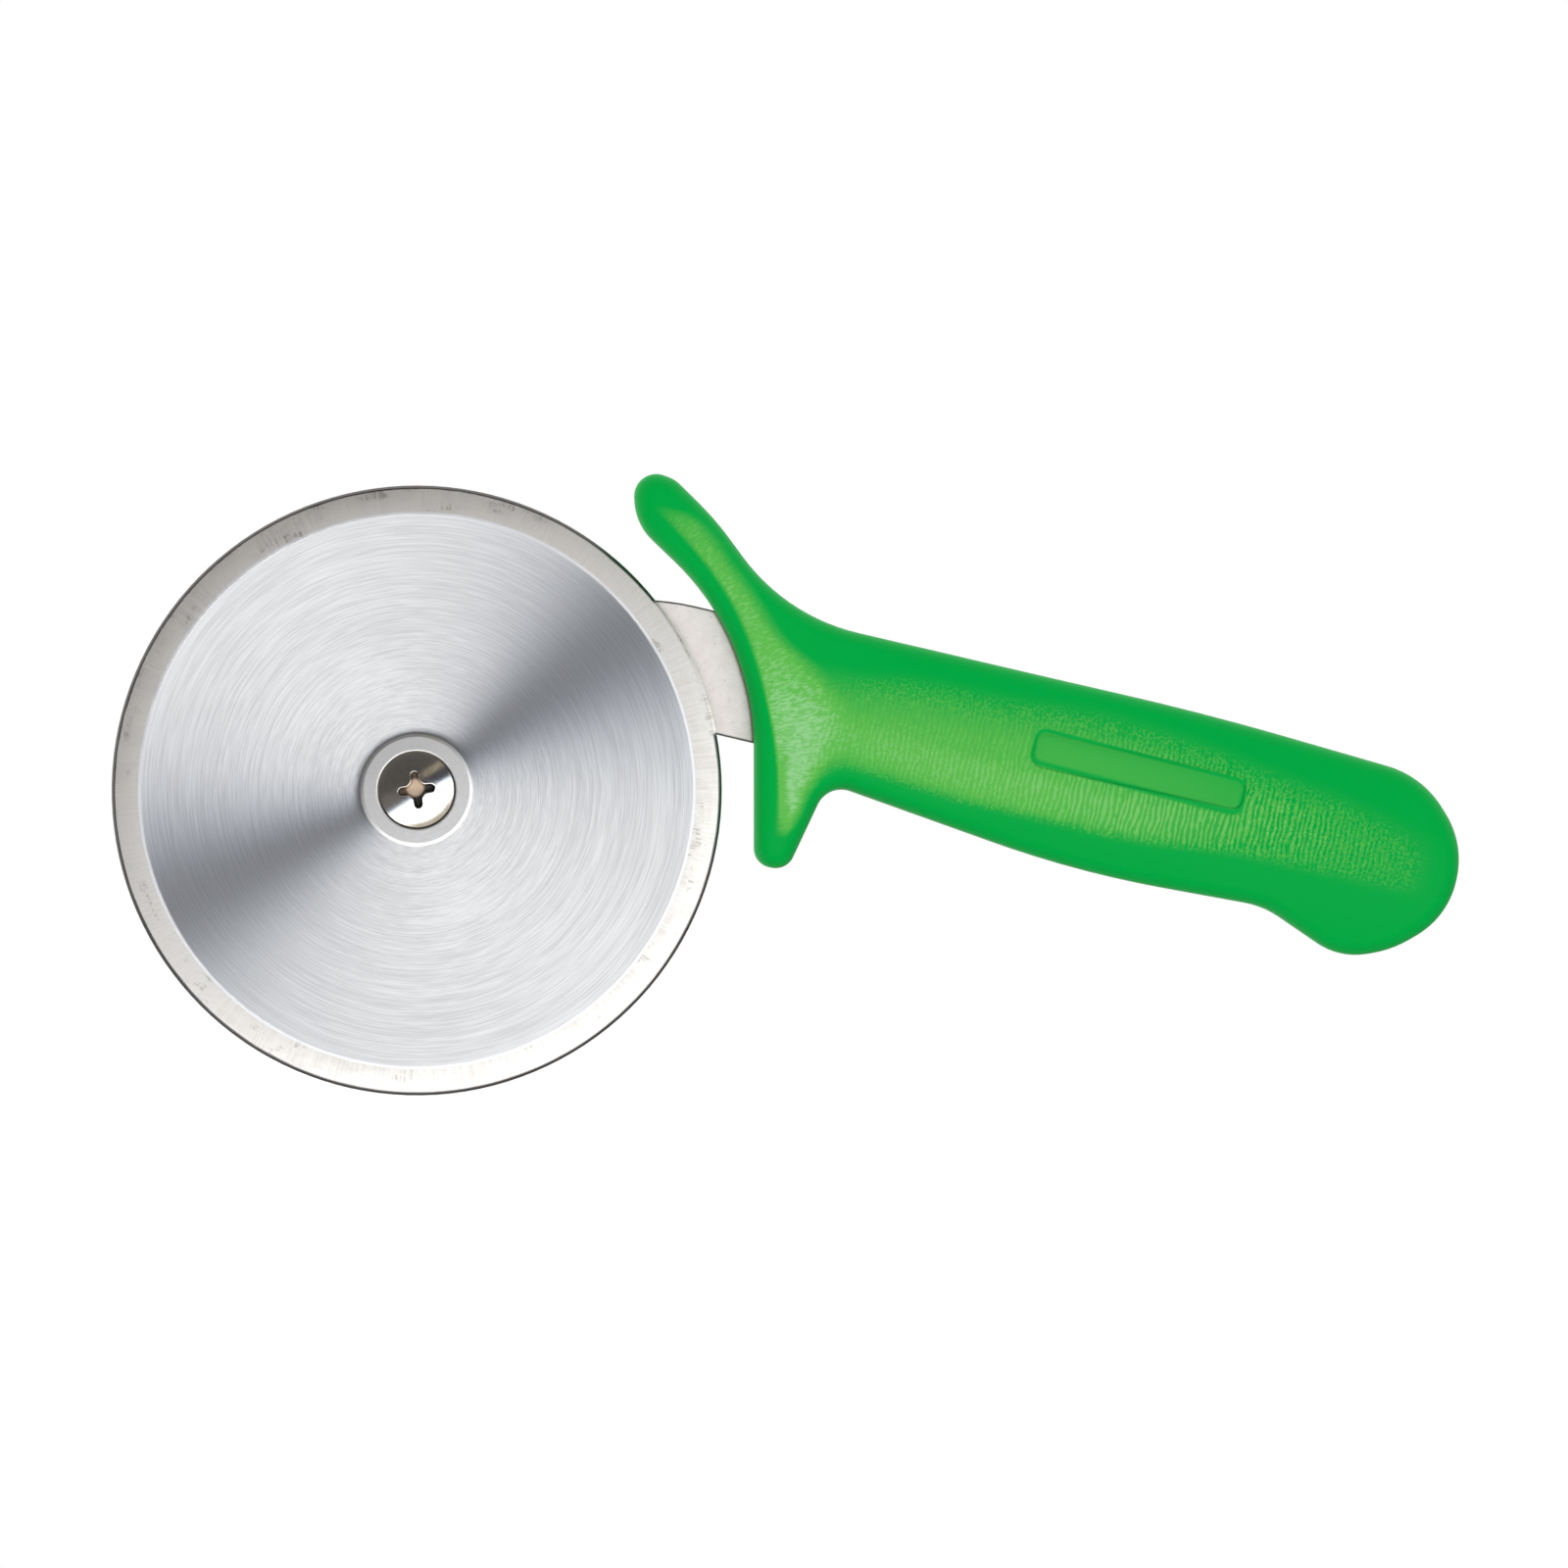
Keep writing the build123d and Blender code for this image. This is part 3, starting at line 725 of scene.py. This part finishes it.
def handle_plastic():
    """The lighter green is painted sheen and the palest a painted highlight, each coming through in part.
    """
    material, tree = new_material("handle_plastic")
    point = place_in_mm(tree)
    x, y, z = split(tree, point)
    reach, outwards = round_axle(tree, point)
    crest = handle_grain(tree, point, x, reach, outwards)
    ripple = less(tree, crest, 0.5)
    behind_front = less(tree, reach, ramp(tree, z, *FRONT_LIMIT_HEIGHTS, *FRONT_LIMIT))
    lit = painted_sheen_zone(tree, x, z, reach, behind_front)
    pad = pad_distance(tree, point, y)
    outside_pad = ramp(tree, pad, *PAD_BLEND)

    # The grain shows most in the painted sheen, whose border breaks into dots of painted glint
    rough = times(tree, ramp(tree, lit, *ROUGH_SPAN), outside_pad)
    swing = times(tree, rough, ramp(tree, x, *SWING_PLACES, *SWINGS))
    fringe = times(tree, ramp(tree, lit, *FRINGE_START), ramp(tree, lit, *FRINGE_END))
    fringe = times(tree, fringe, outside_pad, ramp(tree, x, *FRINGE_PLACES))
    pips = noise(tree, stretched(tree, point, PIP_SCALES), detail=0.0)
    dots = times(tree, ramp(tree, pips, *PIP_SPAN), fringe)
    # Painted sheen, lighter on the grain's crests as painted highlights
    painted_sheen = calc(tree, "MULTIPLY_ADD", ripple, swing, lit)
    # Painted glints at the sheen's border, and a little painted shade there
    painted_sheen = total(tree, (dots, PIP_LIGHT), (fringe, -FRINGE_SHADE), start=painted_sheen)
    # The smooth pad keeps only part of the painted sheen
    painted_sheen = times(tree, painted_sheen, calc(tree, "MULTIPLY_ADD", outside_pad, 1 - PAD_SHEEN_SHARE, PAD_SHEEN_SHARE))
    # Painted shade along the pad's sunk wall
    painted_sheen = times(tree, painted_sheen, less(tree, 1.0, pad_shade_line(tree, pad, z)))

    # Less painted highlight just behind the guard's front rim, from the web towards the butt
    fold = times(tree, ramp(tree, behind_front, *FOLD_SPAN), ramp(tree, x, *FOLD_PLACES))
    painted_bloom = total(tree, (painted_sheen, 1.0), (ripple, BLOOM_SWING), (fold, -FOLD_SHADE), start=-BLOOM_START)
    colour = mix(tree, painted_sheen, *GREEN_AND_SHEEN_GREEN)
    colour = mix(tree, painted_bloom, colour, BLOOM_HIGHLIGHT_COLOUR)
    shader = principled(
        tree,
        Base_Color=colour,
        Roughness=ramp(tree, rough, 0.0, 1.0, *HANDLE_ROUGHNESS),
        Specular_IOR_Level=0.03,
        Normal=bump(tree, times(tree, crest, rough, GRAIN_HEIGHT)),
    )
    finish(tree, shader)
    return material


# A material for each piece

BUSHING_COLOURS = (0.65, 0.635, 0.615), (0.72, 0.705, 0.685)
FASTENER_COLOURS = (0.60, 0.60, 0.59), (0.75, 0.75, 0.74)
BUSHING_SHAPE = {"bore": 6.5, "wall": 9.4, "fall": 0.02, "edge_radius": 0.55}


def give(material, *names):
    for name in names:
        slots = nodes[name].data.materials
        slots.clear()
        slots.append(material)


give(handle_plastic(), "handle")
give(blade_steel(), "blade")
give(arm_steel(), "arm")
give(turned_steel("bushing_steel", BUSHING_COLOURS, 0.40, **BUSHING_SHAPE), "axle_bushing")
give(screw_steel(), "axle_screw")
give(turned_steel("fastener_steel", FASTENER_COLOURS, 0.3), "lock_nut", "nut_washer")
give(nylon(), "front_washer", "rear_washer", "nut_insert")

# Camera: just above the floor, almost square to the blade, rolled by the tool's slope in the photograph

PHOTO_ROLL = radians(13.2)
PHOTO_WIDTH = 261.1 * MM
PHOTO_CENTRE = Vector((59.3, 0, 15.0)) * MM
DISTANCE = 3.0
EYE_HEIGHT = 2 * MM
FAR_CLIP = 100.0
floor_z = cad_box[0].z

camera_data = bpy.data.cameras.new("camera")
camera_data.lens = camera_data.sensor_width * DISTANCE / PHOTO_WIDTH
camera_data.clip_end = FAR_CLIP
camera = bpy.data.objects.new("camera", camera_data)
bpy.context.scene.collection.objects.link(camera)
bpy.context.scene.camera = camera
eye = Vector((PHOTO_CENTRE.x, -DISTANCE, floor_z + EYE_HEIGHT))
ahead = (PHOTO_CENTRE - eye).normalized()
right = ahead.cross(Vector(heading(PHOTO_ROLL + pi / 2))).normalized()
up = right.cross(ahead)
camera.matrix_world = Matrix.Translation(eye) @ Matrix((right, up, -ahead)).transposed().to_4x4()

# World: a pale studio, a broad soft lamp low on the right in front, and a dark room for steel to mirror

# A direction has three shares: over points away from the lamp, beside across that, and front to the
# photographed side
LIGHT_TURN = PHOTO_ROLL + radians(30.9)
WHITE = (1.0, 1.0, 1.0)
LAMP_LEVEL = 3.0
LAMP_COLOURS = (0.76, 0.97, 1.27), WHITE
LAMP_COLOUR_SPAN = (-0.01, -0.26)
LAMP_OVER = (-0.06, -0.19)
LAMP_FAR = (0.97, 0.86)
LAMP_FRONT = (0.2, 0.35)
WALL_TONES = (0.30, 0.30, 0.30), (1.25, 1.25, 1.25)
WALL_SPAN = (-0.55, 0.15)
DARK_TONES = (0.055, 0.057, 0.068), (0.09, 0.085, 0.078)
DARK_TONE_SPAN = (0.05, 0.3)
STREAK_COLOUR = (0.34, 0.29, 0.21)
STREAK_START = (0.14, 0.20)
STREAK_END = (0.36, 0.26)
STREAK_BESIDE = (0.15, 0.45)
GLOW_COLOUR = (0.30, 0.26, 0.22)
GLOW_SHARE = 0.4
GLOW_BESIDE = (-0.2, -0.5)
GLOW_OVER = (0.40, 0.15)
LOW_COLOUR = (0.44, 0.38, 0.29)
LOW_SPAN = (-0.3, -0.5)
DARK_OPEN = 0.496
DARK_SIDE = 0.128
DARK_NARROWING = 4.0
DARK_BLEND = (-0.07, 0.07)


def dark_room(tree, over, beside):
    """What the front of the steel mirrors: near black, with a streak, a glow and a warm low end."""
    dark = mix(tree, ramp(tree, over, *DARK_TONE_SPAN), *DARK_TONES)
    streak = times(tree, ramp(tree, over, *STREAK_START), ramp(tree, over, *STREAK_END))
    dark = mix(tree, times(tree, streak, ramp(tree, beside, *STREAK_BESIDE)), dark, STREAK_COLOUR)
    glow = times(tree, ramp(tree, beside, *GLOW_BESIDE), ramp(tree, over, *GLOW_OVER))
    dark = mix(tree, times(tree, glow, GLOW_SHARE), dark, GLOW_COLOUR)
    return mix(tree, ramp(tree, over, *LOW_SPAN), dark, LOW_COLOUR)


def studio():
    world = bpy.data.worlds.new("studio")
    bpy.context.scene.world = world
    world.use_nodes = True
    tree = world.node_tree
    tree.nodes.clear()
    way = add(tree, "ShaderNodeTexCoord", {}, "Generated")
    over = dot(tree, way, heading(LIGHT_TURN + pi / 2))
    beside = dot(tree, way, heading(LIGHT_TURN))
    front = dot(tree, way, TO_FRONT)

    aside = calc(tree, "SQRT", less(tree, 1.0, times(tree, front, front)))
    far = times(tree, aside, less(tree, aside, over))
    lamp = times(tree, ramp(tree, over, *LAMP_OVER, kind="LINEAR"), ramp(tree, far, *LAMP_FAR))
    lamp = times(tree, lamp, ramp(tree, front, *LAMP_FRONT))
    lamp_colour = mix(tree, ramp(tree, over, *LAMP_COLOUR_SPAN), *LAMP_COLOURS)

    walls = mix(tree, ramp(tree, over, *WALL_SPAN), *WALL_TONES)
    level = calc(tree, "SUBTRACT", 1.0, times(tree, over, over, DARK_NARROWING), clamp=True)
    limit = calc(tree, "MULTIPLY_ADD", level, DARK_SIDE - DARK_OPEN, DARK_OPEN)
    in_dark = ramp(tree, less(tree, front, limit), *DARK_BLEND)
    room = mix(tree, in_dark, walls, dark_room(tree, over, beside))
    lit = mix(tree, lamp, room, scaled(tree, lamp_colour, LAMP_LEVEL))
    colour = mix(tree, seen_by_camera(tree), lit, WHITE)
    background = add(tree, "ShaderNodeBackground", {"Color": colour, "Strength": 1.0})
    finish(tree, background, "ShaderNodeOutputWorld")


studio()

# Floor: white, level with the blade's lowest point

FLOOR_HALF = 40.0
FLOOR_COLOUR = (0.9, 0.9, 0.9)
FLOOR_GLOW = 0.25


def floor():
    """A plane that only the camera sees: it neither lights the object nor shows in its steel."""
    mesh = bpy.data.meshes.new("floor")
    corners = [(-1, -1), (1, -1), (1, 1), (-1, 1)]
    mesh.from_pydata([(x * FLOOR_HALF, y * FLOOR_HALF, floor_z) for x, y in corners], [], [(0, 1, 2, 3)])
    plane = bpy.data.objects.new("floor", mesh)
    bpy.context.scene.collection.objects.link(plane)
    material, tree = new_material("floor_white")
    matt = add(tree, "ShaderNodeBsdfDiffuse", {"Color": FLOOR_COLOUR})
    glow = add(tree, "ShaderNodeEmission", {"Strength": times(tree, seen_by_camera(tree), FLOOR_GLOW)})
    finish(tree, add(tree, "ShaderNodeAddShader", {0: matt, 1: glow}))
    mesh.materials.append(material)
    plane.visible_glossy = False
    plane.visible_diffuse = False
    plane.visible_shadow = False


floor()
bpy.context.scene.view_settings.view_transform = "Standard"
